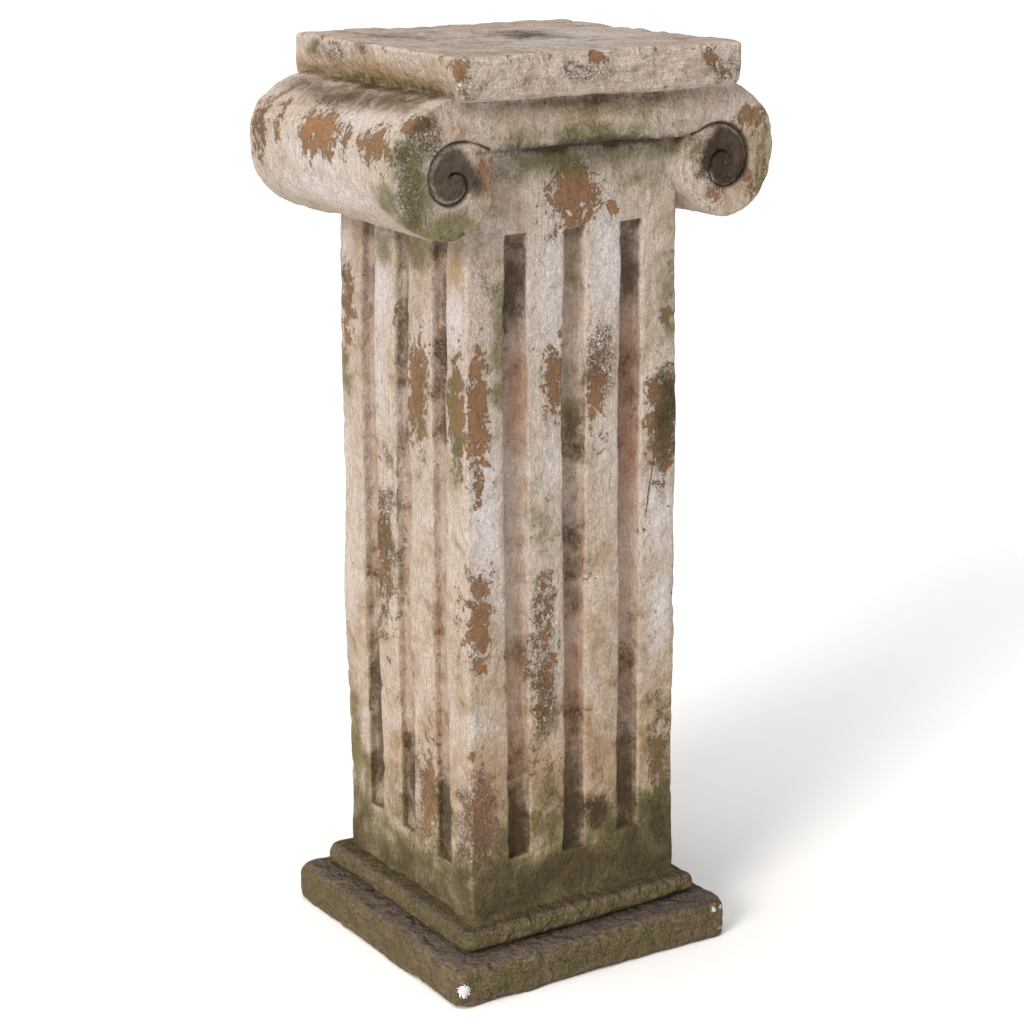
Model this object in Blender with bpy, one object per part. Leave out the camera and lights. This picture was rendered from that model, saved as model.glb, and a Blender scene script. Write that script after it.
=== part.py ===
"""Square fluted garden pedestal with a scrolled capital, cast in one piece.

Units are metres and +Z is up. The origin is at the middle of the underside. The two faces
with the scrolls look along -Y and +Y, and the bolsters behind the scrolls run between them.
"""

import math

import bmesh
import bpy

# Heights, from the ground up
PLINTH_HEIGHT = 0.0300
STEP_HEIGHT = 0.0205
SHAFT_HEIGHT = 0.6175
SLAB_THICKNESS = 0.0320

# Widths: the shaft leads, and the ledges and overhangs are measured out from it
SHAFT_FOOT_WIDTH = 0.1865
SHAFT_HEAD_WIDTH = 0.1810
STEP_LEDGE = 0.0132
PLINTH_LEDGE = 0.0185
FASCIA_PROJECTION = 0.0167
SLAB_OVERHANG = 0.0122

# Upright corners, as radii in plan
PLINTH_CORNER = 0.0080
STEP_CORNER = 0.0060
SHAFT_CORNER = 0.0030
SLAB_CORNER = 0.0085

# Level edges, as radii in section
PLINTH_FOOT_ROUND = 0.0030
PLINTH_TOP_ROUND = 0.0075
STEP_FOOT_ROUND = 0.0040
STEP_TOP_ROUND = 0.0060
SHAFT_FOOT_COVE = 0.0040
SLAB_FOOT_ROUND = 0.0080
SLAB_TOP_ROUND = 0.0045

# Flutes: square-ended sinkings, the same on all four faces
FLUTES_PER_FACE = 3
FLUTE_WIDTH = 0.0195
FLUTE_DEPTH = 0.0090
FLUTE_ARRIS = 0.0012
FLUTE_FLOOR_ROUND = 0.0020
EDGE_RIB_WIDTH = 0.0310
FLUTE_FOOT_MARGIN = 0.0455
FLUTE_HEAD_MARGIN = 0.0618

# Fascia, the plain band under the slab, and the scrolls that it rolls into
FASCIA_HEIGHT = 0.0352
EYE_DROP = 0.0575
EYE_OUTSET = 0.0240
FASCIA_EDGE_ROUND = 0.0030
RIM_AT_SHOULDER = 0.0548
RIM_AT_SIDE = 0.0467
RIM_AT_LOWER_SIDE = 0.0408
RIM_AT_FOOT = 0.0377
RIM_AT_LOWER_INSIDE = 0.0328
RIM_AT_INSIDE = 0.0326
SCROLL_NECK_LEAN = 0.0028

# Spiral channel cut in each scroll, from the fascia's lower edge to the eye
CHANNEL_START_TURN = 0.85
CHANNEL_END_TURN = 2.08
CHANNEL_START_RADIUS = 0.0362
CHANNEL_END_RADIUS = 0.0092
CHANNEL_TIGHTENING = 2.2
CHANNEL_DEPTH = 0.0042
CHANNEL_OUTER_LIP = 0.0010
CHANNEL_INNER_SLOPE = 0.0042
CHANNEL_LEAD_IN = 0.0060

# Fineness of the faceting, in segments
CORNER_SEGMENTS = 4
ROUND_SEGMENTS = 4
RIM_SEGMENTS_PER_STAGE = 5
CHANNEL_SEGMENTS = 54

# Reach of hidden faces into or out of the solid, so that no two faces lie in one plane
EMBED = 0.0120
CLEAR = 0.0040

STEP_BASE_Z = PLINTH_HEIGHT
SHAFT_BASE_Z = STEP_BASE_Z + STEP_HEIGHT
SLAB_BASE_Z = SHAFT_BASE_Z + SHAFT_HEIGHT
SLAB_TOP_Z = SLAB_BASE_Z + SLAB_THICKNESS
FASCIA_FOOT_Z = SLAB_BASE_Z - FASCIA_HEIGHT
EYE_Z = SLAB_BASE_Z - EYE_DROP

SHAFT_FOOT_HALF = SHAFT_FOOT_WIDTH / 2
SHAFT_HEAD_HALF = SHAFT_HEAD_WIDTH / 2
STEP_HALF = SHAFT_FOOT_HALF + STEP_LEDGE
PLINTH_HALF = STEP_HALF + PLINTH_LEDGE
FASCIA_HALF = SHAFT_HEAD_HALF + FASCIA_PROJECTION
SLAB_HALF = FASCIA_HALF + SLAB_OVERHANG
EYE_X = SHAFT_HEAD_HALF + EYE_OUTSET


def clear_scene():
    """Remove every object that the file starts with."""
    for item in list(bpy.data.objects):
        bpy.data.objects.remove(item, do_unlink=True)


def quarter(radius, rising):
    """Quarter round in section as (inset, height) pairs, from the level end or the upright end."""
    points = []
    for index in range(ROUND_SEGMENTS + 1):
        angle = math.pi / 2 * index / ROUND_SEGMENTS
        if rising:
            points.append((radius * (1 - math.sin(angle)), radius * (1 - math.cos(angle))))
        else:
            points.append((radius * (1 - math.cos(angle)), radius * (math.sin(angle) - 1)))
    return points


def block_levels(half, base_z, top_z, foot_round, top_round, corner):
    """Levels (half width, height, corner radius) of a block with rounded edges."""
    levels = [(half - inset, base_z + rise, corner) for inset, rise in quarter(foot_round, True)]
    levels += [(half - inset, top_z + drop, corner) for inset, drop in quarter(top_round, False)]
    return levels


def shaft_half(z):
    """Half width of the tapered shaft at a height."""
    share = (z - SHAFT_BASE_Z) / SHAFT_HEIGHT
    return SHAFT_FOOT_HALF + (SHAFT_HEAD_HALF - SHAFT_FOOT_HALF) * share


def shaft_levels():
    """Levels of the shaft: a small cove at its foot, then the straight taper to the slab."""
    levels = []
    for index in range(ROUND_SEGMENTS):
        angle = math.pi / 2 * index / ROUND_SEGMENTS
        z = SHAFT_BASE_Z + SHAFT_FOOT_COVE * (1 - math.cos(angle))
        levels.append((shaft_half(z) + SHAFT_FOOT_COVE * (1 - math.sin(angle)), z, SHAFT_CORNER))
    for z in (SHAFT_BASE_Z + SHAFT_FOOT_COVE, SLAB_BASE_Z):
        levels.append((shaft_half(z), z, SHAFT_CORNER))
    return levels


def rounded_square(half, radius):
    """Corner-rounded square in plan, as points counterclockwise from above."""
    points = []
    for corner in range(4):
        start = corner * math.pi / 2
        middle = start + math.pi / 4
        reach = (half - radius) * math.sqrt(2)
        for index in range(CORNER_SEGMENTS + 1):
            angle = start + math.pi / 2 * index / CORNER_SEGMENTS
            points.append((reach * math.cos(middle) + radius * math.cos(angle),
                           reach * math.sin(middle) + radius * math.sin(angle)))
    return points


def skin_rings(mesh, rings):
    """Join a list of vertex rings with faces and close both ends."""
    count = len(rings[0])
    for lower, upper in zip(rings, rings[1:]):
        for index in range(count):
            follow = (index + 1) % count
            mesh.faces.new((lower[index], lower[follow], upper[follow], upper[index]))
    mesh.faces.new(list(reversed(rings[0])))
    mesh.faces.new(rings[-1])


def new_object(name, mesh):
    """Link a bmesh to the scene as an object, with all its faces pointing out."""
    bmesh.ops.recalc_face_normals(mesh, faces=mesh.faces)
    data = bpy.data.meshes.new(name)
    mesh.to_mesh(data)
    mesh.free()
    item = bpy.data.objects.new(name, data)
    bpy.context.scene.collection.objects.link(item)
    return item


def build_core(name):
    """Plinth, step, shaft and slab as one stack of rounded squares."""
    levels = block_levels(PLINTH_HALF, 0.0, STEP_BASE_Z, PLINTH_FOOT_ROUND, PLINTH_TOP_ROUND,
                          PLINTH_CORNER)
    levels += block_levels(STEP_HALF, STEP_BASE_Z, SHAFT_BASE_Z, STEP_FOOT_ROUND, STEP_TOP_ROUND,
                           STEP_CORNER)
    levels += shaft_levels()
    levels += block_levels(SLAB_HALF, SLAB_BASE_Z, SLAB_TOP_Z, SLAB_FOOT_ROUND, SLAB_TOP_ROUND,
                           SLAB_CORNER)
    mesh = bmesh.new()
    rings = []
    for half, z, corner in levels:
        ring = [mesh.verts.new((x, y, z)) for x, y in rounded_square(half, corner)]
        rings.append(ring)
    skin_rings(mesh, rings)
    return new_object(name, mesh)


def smooth_step(share):
    """Ease from 0 to 1 with a level start and end."""
    return share * share * (3 - 2 * share)


def rim_points():
    """Outline of the right scroll from its inside, under its foot, round to the shoulder.

    The turn is measured from straight up, outward and down. The rim's radius about the eye
    is given at each eighth of a turn and eases from one to the next.
    """
    radii = (RIM_AT_SHOULDER, RIM_AT_SIDE, RIM_AT_LOWER_SIDE, RIM_AT_FOOT,
             RIM_AT_LOWER_INSIDE, RIM_AT_INSIDE)
    points = []
    for stage in range(len(radii) - 1):
        for index in range(RIM_SEGMENTS_PER_STAGE):
            share = index / RIM_SEGMENTS_PER_STAGE
            before = radii[max(stage - 1, 0)]
            here, there = radii[stage], radii[stage + 1]
            after = radii[min(stage + 2, len(radii) - 1)]
            radius = (here + share * (there - before) / 2
                      + share ** 2 * (2 * before - 5 * here + 4 * there - after) / 2
                      + share ** 3 * (3 * here - before - 3 * there + after) / 2)
            angle = math.pi / 4 * (stage + 1 + share)
            points.append((EYE_X + radius * math.sin(angle), EYE_Z + radius * math.cos(angle)))
    points.append((EYE_X - RIM_AT_INSIDE, EYE_Z))
    points.reverse()
    return points


def capital_outline():
    """Closed front outline of the capital: fascia, both scrolls and a top inside the slab."""
    right = [(EYE_X - RIM_AT_INSIDE + SCROLL_NECK_LEAN, FASCIA_FOOT_Z)]
    right += rim_points()
    shoulder_x, shoulder_z = right[-1]
    join_x = SLAB_HALF - SLAB_FOOT_ROUND
    join_z = SLAB_BASE_Z + SLAB_FOOT_ROUND / 3
    for share in (1 / 3, 2 / 3, 1):
        eased = 1 - (1 - share) ** 2
        right.append((shoulder_x + (join_x - shoulder_x) * share,
                      shoulder_z + (join_z - shoulder_z) * eased))
    right.append((join_x, SLAB_BASE_Z + EMBED))
    left = [(-x, z) for x, z in reversed(right)]
    return right + left


def inset_outline(outline, distance):
    """Move a closed outline sideways into the solid by a distance, mitred at its corners."""
    count = len(outline)
    moved = []
    for index in range(count):
        before, here, after = (outline[(index + step) % count] for step in (-1, 0, 1))
        normals = []
        for start, end in ((before, here), (here, after)):
            run_x, run_z = end[0] - start[0], end[1] - start[1]
            length = math.hypot(run_x, run_z)
            normals.append((-run_z / length, run_x / length))
        sum_x = normals[0][0] + normals[1][0]
        sum_z = normals[0][1] + normals[1][1]
        scale = 2 * distance / (sum_x ** 2 + sum_z ** 2)
        moved.append((here[0] + sum_x * scale, here[1] + sum_z * scale))
    return moved


def build_capital(name):
    """Fascia and bolsters: the front outline carried from front to back with eased rims."""
    outline = capital_outline()
    mesh = bmesh.new()
    rings = []
    for inset, step_back in quarter(FASCIA_EDGE_ROUND, True):
        ring = inset_outline(outline, inset)
        rings.append([mesh.verts.new((x, step_back - FASCIA_HALF, z)) for x, z in ring])
    for inset, step_back in reversed(quarter(FASCIA_EDGE_ROUND, True)):
        ring = inset_outline(outline, inset)
        rings.append([mesh.verts.new((x, FASCIA_HALF - step_back, z)) for x, z in ring])
    skin_rings(mesh, rings)
    return new_object(name, mesh)


def flute_section(face_half):
    """Half-width and distance from the axis of one flute's section, mouth to floor."""
    half = FLUTE_WIDTH / 2
    return (
        (half + FLUTE_ARRIS + CLEAR, face_half + CLEAR),
        (half, face_half - FLUTE_ARRIS),
        (half, face_half - FLUTE_DEPTH + FLUTE_FLOOR_ROUND),
        (half - FLUTE_FLOOR_ROUND, face_half - FLUTE_DEPTH),
    )


def build_flutes(name):
    """Cutter for the flutes of all four faces, each following the taper of its face."""
    mesh = bmesh.new()
    foot_z = SHAFT_BASE_Z + FLUTE_FOOT_MARGIN
    head_z = FASCIA_FOOT_Z - FLUTE_HEAD_MARGIN
    spread = SHAFT_HEAD_WIDTH - 2 * EDGE_RIB_WIDTH - FLUTE_WIDTH
    pitch = spread / (FLUTES_PER_FACE - 1)
    for face in range(4):
        turn = face * math.pi / 2
        for flute in range(FLUTES_PER_FACE):
            centre = -spread / 2 + pitch * flute
            rings = []
            for z in (foot_z, head_z):
                section = flute_section(shaft_half(z))
                sides = [(-across, away) for across, away in section]
                sides += [(across, away) for across, away in reversed(section)]
                ring = []
                for across, away in sides:
                    x, y = centre + across, -away
                    ring.append(mesh.verts.new((x * math.cos(turn) - y * math.sin(turn),
                                                x * math.sin(turn) + y * math.cos(turn), z)))
                rings.append(ring)
            skin_rings(mesh, rings)
    return new_object(name, mesh)


def channel_path():
    """Spiral of the channel about the right eye, as (x, z, outward x, outward z, share).

    The radius falls from its start to its end as a power of the share of turn left, so the
    coil tightens toward the eye.
    """
    path = []
    for index in range(CHANNEL_SEGMENTS + 1):
        share = index / CHANNEL_SEGMENTS
        radius = CHANNEL_END_RADIUS
        radius += (CHANNEL_START_RADIUS - CHANNEL_END_RADIUS) * (1 - share) ** CHANNEL_TIGHTENING
        turn = CHANNEL_START_TURN + (CHANNEL_END_TURN - CHANNEL_START_TURN) * share
        angle = 2 * math.pi * turn
        out_x, out_z = math.sin(angle), math.cos(angle)
        path.append((EYE_X + radius * out_x, EYE_Z + radius * out_z, out_x, out_z, share))
    x, z, out_x, out_z, share = path[0]
    path.insert(0, (x - CHANNEL_LEAD_IN, z, 0.0, 1.0, share))
    return path


def build_channels(name):
    """Cutter for the four spiral channels: steep against the rim, sloped toward the coil."""
    mesh = bmesh.new()
    for side in (1, -1):
        for front in (1, -1):
            rings = []
            for x, z, out_x, out_z, share in channel_path():
                depth = CHANNEL_DEPTH * (1 - 0.5 * smooth_step(share))
                slope = CHANNEL_INNER_SLOPE * (1 - 0.5 * smooth_step(share))
                flare = 1 + CLEAR / depth
                section = ((CHANNEL_OUTER_LIP * flare, -CLEAR), (0.0, depth),
                           (-slope * flare, -CLEAR))
                ring = []
                for offset, sink in section:
                    point = (side * (x + offset * out_x), front * (sink - FASCIA_HALF),
                             z + offset * out_z)
                    ring.append(mesh.verts.new(point))
                rings.append(ring)
            skin_rings(mesh, rings)
    return new_object(name, mesh)


def hide_tool(item):
    """Mark an object as a tool that only shapes another."""
    item.hide_render = True
    item.display_type = "WIRE"


def combine(target, tool, operation):
    """Join a tool to the target, or cut it away, with an exact Boolean."""
    hide_tool(tool)
    modifier = target.modifiers.new(tool.name, "BOOLEAN")
    modifier.operation = operation
    modifier.solver = "EXACT"
    modifier.object = tool


def cast_stone_paint():
    """Chalky cream paint over a brown cast body."""
    material = bpy.data.materials.new("aged_cream_paint")
    material.use_nodes = True
    shader = material.node_tree.nodes["Principled BSDF"]
    shader.inputs["Base Color"].default_value = (0.55, 0.47, 0.39, 1.0)
    shader.inputs["Roughness"].default_value = 0.88
    shader.inputs["Metallic"].default_value = 0.0
    return material


def main():
    """Build the pedestal."""
    clear_scene()
    pedestal = build_core("pedestal")
    pedestal.data.materials.append(cast_stone_paint())
    combine(pedestal, build_capital("capital_body"), "UNION")
    combine(pedestal, build_flutes("flute_cutter"), "DIFFERENCE")
    combine(pedestal, build_channels("channel_cutter"), "DIFFERENCE")
    pedestal.data.shade_smooth()
    pedestal.data.set_sharp_from_angle(angle=math.radians(38))


main()
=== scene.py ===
"""Aged fluted garden pedestal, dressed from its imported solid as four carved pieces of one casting.

Units are metres, +Z is up, and the origin is at the middle of the underside. The scrolled faces
look along -Y and +Y. Each piece is a closed surface worked out on a grid: the foot, the fluted
shaft, the scrolled capital and the top slab. They meet at the creases that the real casting has.
"""

import math

import bpy
import numpy as np
from mathutils import Matrix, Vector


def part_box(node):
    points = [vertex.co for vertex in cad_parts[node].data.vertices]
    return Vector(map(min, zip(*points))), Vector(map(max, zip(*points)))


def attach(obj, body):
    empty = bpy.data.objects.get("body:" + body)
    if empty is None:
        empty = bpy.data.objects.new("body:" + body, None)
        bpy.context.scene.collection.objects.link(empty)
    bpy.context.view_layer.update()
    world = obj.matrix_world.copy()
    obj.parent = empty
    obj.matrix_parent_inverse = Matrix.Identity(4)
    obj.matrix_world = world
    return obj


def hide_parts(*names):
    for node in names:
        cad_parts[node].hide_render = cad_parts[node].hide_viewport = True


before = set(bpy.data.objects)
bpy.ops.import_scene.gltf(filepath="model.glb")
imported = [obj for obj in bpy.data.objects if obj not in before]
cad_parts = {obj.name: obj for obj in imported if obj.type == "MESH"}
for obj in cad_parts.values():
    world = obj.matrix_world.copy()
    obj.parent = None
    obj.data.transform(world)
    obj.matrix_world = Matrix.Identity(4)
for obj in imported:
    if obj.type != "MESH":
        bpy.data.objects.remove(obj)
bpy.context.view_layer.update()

NODE = "pedestal"
BODY = "root"

# Heights of the casting, as in the solid, and the shaft's hidden ends inside its neighbours
GROUND_GAP = 0.0006
STEP_BASE_Z = 0.0300
SHAFT_ROOT_Z = 0.0455
SHAFT_BASE_Z = 0.0505
FASCIA_FOOT_Z = 0.6328
SHAFT_TOP_Z = 0.6560
SLAB_BASE_Z = 0.6680
SLAB_TOP_Z = 0.7000

# Half widths of the blocks, as in the solid
PLINTH_HALF = 0.1244
STEP_HALF = 0.1060
SHAFT_FOOT_HALF = 0.0930
SHAFT_HEAD_HALF = 0.0903
FASCIA_HALF = 0.1068
SLAB_HALF = 0.1192
ARRIS = 0.0030

# Grids: length along a section from row to row, and rows of the capital's wall
ROW_SPACING = 0.00135
WALL_ROWS = 68

# The real shaft leans and its slab sits a little to the right
SHAFT_LEAN_X = -0.0040
SHAFT_LEAN_Y = 0.0013
SHAFT_LEFT_BOW = 0.0022
SLAB_RIGHT_REACH = 0.0060

# Flutes
FLUTE_CENTRES = (-0.04975, 0.0, 0.04975)
FLUTE_HALF = 0.00975
FLUTE_DEPTH = 0.0090
FLUTE_FOOT_Z = 0.0960
FLUTE_HEAD_Z = 0.5710
FACE_RIGHT, FACE_BACK, FACE_LEFT, FACE_FRONT = range(4)

# How the hand left each face's three flutes: rise of the foot end, rise of the head end, depth
FLUTE_HAND = {
    FACE_FRONT: ((0.0, -0.0045, 0.0015), (0.0, 0.0005, 0.0015), (1.0, 0.92, 1.05)),
    FACE_LEFT: ((0.0015, -0.0015, -0.0070), (0.003, 0.004, 0.004), (0.95, 0.85, 0.85)),
    FACE_BACK: ((-0.001, 0.001, -0.002), (0.001, -0.001, 0.0), (1.0, 0.95, 1.0)),
    FACE_RIGHT: ((0.001, -0.002, 0.0), (0.0, 0.001, -0.001), (0.95, 1.0, 0.95)),
}

# Scrolls: centre of each disc, and the spiral groove about its own eye
DISC_X = 0.1143
DISC_Z = 0.6105
SEAM_X = 0.0847
HIDDEN_TOP_Z = 0.6800
GROOVE_START = 306.0
GROOVE_END = 770.0
GROOVE_DEPTH = 0.0056
LIP_WIDTH = 0.0032
# Reach of the painted shade that darkens each side of the spiral groove
GROOVE_SHADE_WIDTH = 0.0016
CORE_RADIUS = 0.0275
RIM_ROUND = 0.0034
RIM_START = 45
RIM_END = 270
FULL_TURN = 360
SPIRALS = {
    -1: {"eye": (0.1142, 0.6124), "start": 0.0341, "end": 0.0073, "power": 1.9, "lead": 0.0018,
         "dirty": 0.0225, "aside": -0.004},
    1: {"eye": (0.1164, 0.6108), "start": 0.0336, "end": 0.0078, "power": 1.4, "lead": 0.0045,
        "dirty": 0.0270, "aside": -0.002},
}
RIM_RADII = {-1: (0.0576, 0.0472, 0.0406, 0.0372, 0.0328, 0.0326),
             1: (0.0552, 0.0472, 0.0430, 0.0388, 0.0330, 0.0326)}


def smooth(share):
    """Ease from 0 to 1 with a level start and end, held outside that range."""
    share = np.clip(share, 0.0, 1.0)
    return share * share * (3 - 2 * share)


def falloff(gap, width, power=1.0):
    """1 where there is no gap, falling as a power to 0 where the gap is the width."""
    return np.clip(1 - gap / width, 0, 1) ** power


def rounding(gap):
    """Depth of a rounded rim behind the flat, at a distance in from the rim."""
    return RIM_ROUND * (1 - np.sqrt(1 - falloff(gap, RIM_ROUND) ** 2))


def lattice(column, row, layer, seed):
    """Repeatable value from -1 to 1 for whole-number lattice points, by mixing their bits."""
    mixed = (column.astype(np.uint32) * np.uint32(374761393)
             + row.astype(np.uint32) * np.uint32(668265263)
             + layer.astype(np.uint32) * np.uint32(2246822519)
             + np.uint32(seed * 3266489917 % 2 ** 32))
    mixed = (mixed ^ (mixed >> np.uint32(13))) * np.uint32(1274126177)
    mixed = mixed ^ (mixed >> np.uint32(16))
    return mixed / 2147483647.5 - 1.0


def roughness_field(points, size, seed):
    """Smooth noise from -1 to 1: lattice values a cell size apart, blended by an eased cube."""
    cell = points / np.asarray(size)
    base = np.floor(cell).astype(np.int64)
    part = cell - base
    ease = part ** 3 * (part * (part * 6 - 15) + 10)
    total = np.zeros(len(points))
    for corner in range(8):
        step = np.array([corner & 1, corner >> 1 & 1, corner >> 2])
        weight = np.prod(np.where(step, ease, 1 - ease), axis=1)
        spot = base + step
        total += weight * lattice(spot[:, 0], spot[:, 1], spot[:, 2], seed)
    return total


def quad_strip(rows, columns, wrap):
    """Quads of a grid whose points run row by row; wrap joins the last column to the first."""
    index = np.arange(rows * columns).reshape(rows, columns)
    here = index if wrap else index[:, :-1]
    follow = np.roll(index, -1, axis=1) if wrap else index[:, 1:]
    return np.stack([here[:-1], follow[:-1], follow[1:], here[1:]], axis=-1).reshape(-1, 4)


def fan(ring, hub, upward):
    """Triangles from a ring of point numbers to one hub point."""
    follow = np.roll(ring, -1)
    pair = (ring, follow) if upward else (follow, ring)
    return np.stack([pair[0], pair[1], np.full_like(ring, hub)], axis=-1)


def path_points(corners):
    """Even points along a path of straight runs with a rounded turn at each inner corner.

    Each corner is (reach, height, radius). A turn is a quadratic curve that leaves the run its
    radius before the corner and joins the next one its radius after it.
    """
    line = [corners[0][:2]]
    for before, here, after in zip(corners, corners[1:], corners[2:]):
        middle = np.array(here[:2])
        arms = []
        for other in (before, after):
            arm = np.array(other[:2]) - middle
            arms.append(middle + arm / np.linalg.norm(arm) * here[2])
        for share in np.linspace(0, 1, 7):
            line.append(tuple((1 - share) ** 2 * arms[0] + 2 * share * (1 - share) * middle
                              + share ** 2 * arms[1]))
    line.append(corners[-1][:2])
    line = np.array(line)
    travel = np.concatenate([[0], np.cumsum(np.linalg.norm(np.diff(line, axis=0), axis=1))])
    even = np.linspace(0, travel[-1], int(travel[-1] / ROW_SPACING) + 2)
    return np.stack([np.interp(even, travel, line[:, axis]) for axis in (0, 1)], axis=1)


def around_square(half, corner, along, arc_steps, sink=0.0):
    """Grid round a square with rounded corners, a row for each level.

    On each face a point lies at distance half less its sinking from the axis, and at its
    place along the face; at a corner it lies on a quarter circle. Faces follow each other
    counterclockwise from +X.
    """
    rows = len(half)
    half, corner = half[:, None], corner[:, None]
    angle = np.linspace(0, math.pi / 2, arc_steps + 2)[None, 1:-1]
    arc_out = half - corner + corner * np.cos(angle)
    arc_along = half - corner + corner * np.sin(angle)
    points = []
    for face in range(4):
        turn = face * math.pi / 2
        depth = sink[face] if isinstance(sink, list) else sink
        run = along[face] if isinstance(along, list) else along
        out = np.concatenate([half - depth + 0 * run, arc_out], axis=1)
        side = np.concatenate([run, arc_along], axis=1)
        points.append(np.stack([out * math.cos(turn) - side * math.sin(turn),
                                out * math.sin(turn) + side * math.cos(turn)], axis=-1))
    return np.concatenate(points, axis=1).reshape(rows, -1, 2)


def carried_round(half, height, corner, columns, arc_steps):
    """Plan and heights of a section carried round a square, with even columns on each face."""
    share = np.linspace(-1, 1, columns)
    plan = around_square(half, corner, share * (half - corner)[:, None], arc_steps)
    return plan, np.repeat(height[:, None], plan.shape[1], axis=1)


def closed_stack(plan, heights, foot_z, head_z):
    """Closed surface from a grid of plan points and heights, with a fan over each end."""
    rows, columns = plan.shape[:2]
    points = np.concatenate([plan, heights[..., None]], axis=-1).reshape(-1, 3)
    count = len(points)
    points = np.concatenate([points, [[0, 0, foot_z], [0, 0, head_z]]])
    faces = quad_strip(rows, columns, True).tolist()
    faces += fan(np.arange(columns), count, False).tolist()
    faces += fan(np.arange(count - columns, count), count + 1, True).tolist()
    return points, faces


def foot_surface():
    """Plinth and step: one stepped path in section carried round a rounded square.

    The path rises up the plinth's face, rolls over its top edge, runs in along the ledge to
    the dark crease, swells out as the step and ends inside the shaft.
    """
    half, height = path_points([
        (0.1140, GROUND_GAP, 0), (PLINTH_HALF, GROUND_GAP, 0.0034),
        (PLINTH_HALF + 0.0004, 0.0160, 0.006), (PLINTH_HALF, STEP_BASE_Z, 0.0078),
        (0.1030, STEP_BASE_Z + 0.0008, 0.0016), (0.1014, STEP_BASE_Z + 0.0030, 0.0010),
        (STEP_HALF + 0.0012, 0.0356, 0.0036), (STEP_HALF + 0.0006, SHAFT_BASE_Z - 0.0010, 0.0070),
        (0.0975, SHAFT_BASE_Z + 0.0010, 0.0020), (0.0860, SHAFT_BASE_Z + 0.0030, 0)]).T
    corner = np.interp(half, [0.090, 0.104, 0.107, 0.125], [0.003, 0.0055, 0.0065, 0.0085])
    plan, heights = carried_round(half, height, corner, 166, 6)
    ledge = np.clip(heights / STEP_BASE_Z, 0, 1) ** 2 * smooth((0.046 - heights) / 0.012)
    heights = heights + 0.0030 * ledge * smooth((plan[..., 0] + 0.02) / 0.14)
    return closed_stack(plan, heights, GROUND_GAP, SHAFT_BASE_Z + 0.0030)


def flute_columns():
    """Places along a face for the grid's columns, and each column's share of the flute depth.

    The wall of a flute is a near upright run of close columns from the worn arris to the floor.
    """
    offset = np.array([0.0020, 0.0008, 0.0001, -0.0001, -0.0003, -0.0008, -0.0018, -0.0034])
    share = np.array([0.0, 0.035, 0.14, 0.42, 0.72, 0.90, 0.98, 1.0])
    places, shares = [], []
    edge = SHAFT_HEAD_HALF - ARRIS
    gaps = [-edge] + [centre + side * (FLUTE_HALF + 0.0020) for centre in FLUTE_CENTRES
                      for side in (-1, 1)] + [edge]
    for index in range(0, 8, 2):
        first, last = gaps[index], gaps[index + 1]
        inner = np.linspace(first, last, 10)
        inner = inner[:-1] if index == 0 else inner[1:-1] if index < 6 else inner[1:]
        places.append(inner)
        shares.append(np.zeros(len(inner)))
        if index < 6:
            centre = FLUTE_CENTRES[index // 2]
            floor = np.linspace(-FLUTE_HALF + 0.0034, FLUTE_HALF - 0.0034, 6)[1:-1]
            places += [centre - FLUTE_HALF - offset, centre + floor,
                       (centre + FLUTE_HALF + offset)[::-1]]
            shares += [share, np.ones(4), share[::-1]]
    return np.concatenate(places), np.concatenate(shares)


def shaft_rows():
    """Heights for the grid's rows, and each row's share of the flute depth.

    Rows crowd at the two ends of the flutes, where the sinking starts within 2 mm.
    """
    step = np.array([-0.0016, -0.0006, -0.0001, 0.0001, 0.0004, 0.0010, 0.0022, 0.0040])
    share = np.array([0.0, 0.05, 0.16, 0.50, 0.80, 0.93, 0.99, 1.0])
    foot = np.concatenate([[SHAFT_ROOT_Z, 0.0490, 0.0508, 0.0516, 0.0528, 0.0542, 0.0560],
                           np.linspace(0.0580, FLUTE_FOOT_Z - 0.0030, 15)])
    middle = np.linspace(FLUTE_FOOT_Z + 0.0060, FLUTE_HEAD_Z - 0.0060, 188)
    head = np.linspace(FLUTE_HEAD_Z + 0.0030, SHAFT_TOP_Z, 28)
    heights = np.concatenate([foot, FLUTE_FOOT_Z + step, middle, (FLUTE_HEAD_Z - step)[::-1], head])
    shares = np.concatenate([0 * foot, share, 0 * middle + 1, share[::-1], 0 * head])
    return heights, shares


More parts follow.
